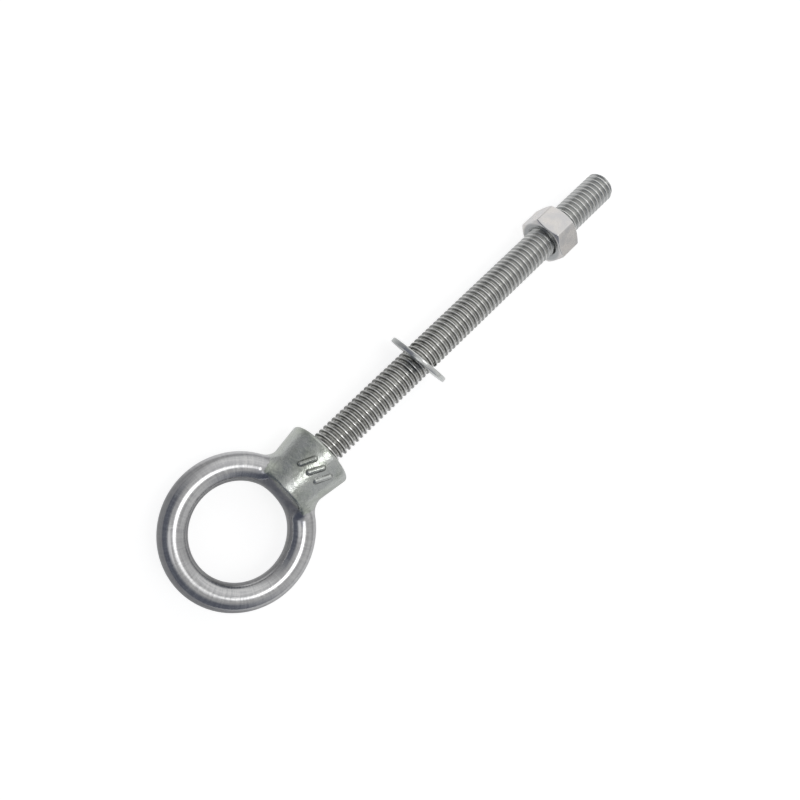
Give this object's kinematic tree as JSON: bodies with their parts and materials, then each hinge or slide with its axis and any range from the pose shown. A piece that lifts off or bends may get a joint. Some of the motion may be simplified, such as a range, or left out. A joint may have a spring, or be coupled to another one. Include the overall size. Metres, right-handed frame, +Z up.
{
  "type": "eye bolt",
  "caption": "Fully threaded rod with a cast eye and collar screwed on one end, a loose flat washer and a hex nut on the thread.",
  "frame": {"origin": "middle of the bolt's box in X and Y, on the surface that it lies on", "axes": "+X along the rod from the eye to the free end, +Z up, square to the flat of the eye; the rod's axis is at y 0, z 13.1 mm and the collar's seat face is at x -48.775 mm"},
  "size_m": [0.2326, 0.0554, 0.0262],
  "materials": {
    "cast_steel": "polished stainless steel, satin on the collar",
    "rod_steel": "rolled stainless thread, bright crests and darker roots",
    "washer_steel": "stamped and tumbled stainless steel",
    "nut_steel": "pale satin steel with fine scratches"
  },
  "bodies": {
    "bolt": {"eye": "cast_steel", "threaded_rod": "rod_steel"},
    "washer": {"flat_washer": "washer_steel"},
    "nut": {"hex_nut": "nut_steel"}
  },
  "joints": [
    {"name": "washer_slide", "type": "slide", "parent": "bolt", "child": "washer", "axis": [1, 0, 0], "range_m": [-0.046, 0.034]},
    {"name": "nut_travel", "type": "slide", "parent": "bolt", "child": "nut", "axis": [1, 0, 0], "range_m": [-0.03387, 0.02752]}
  ]
}
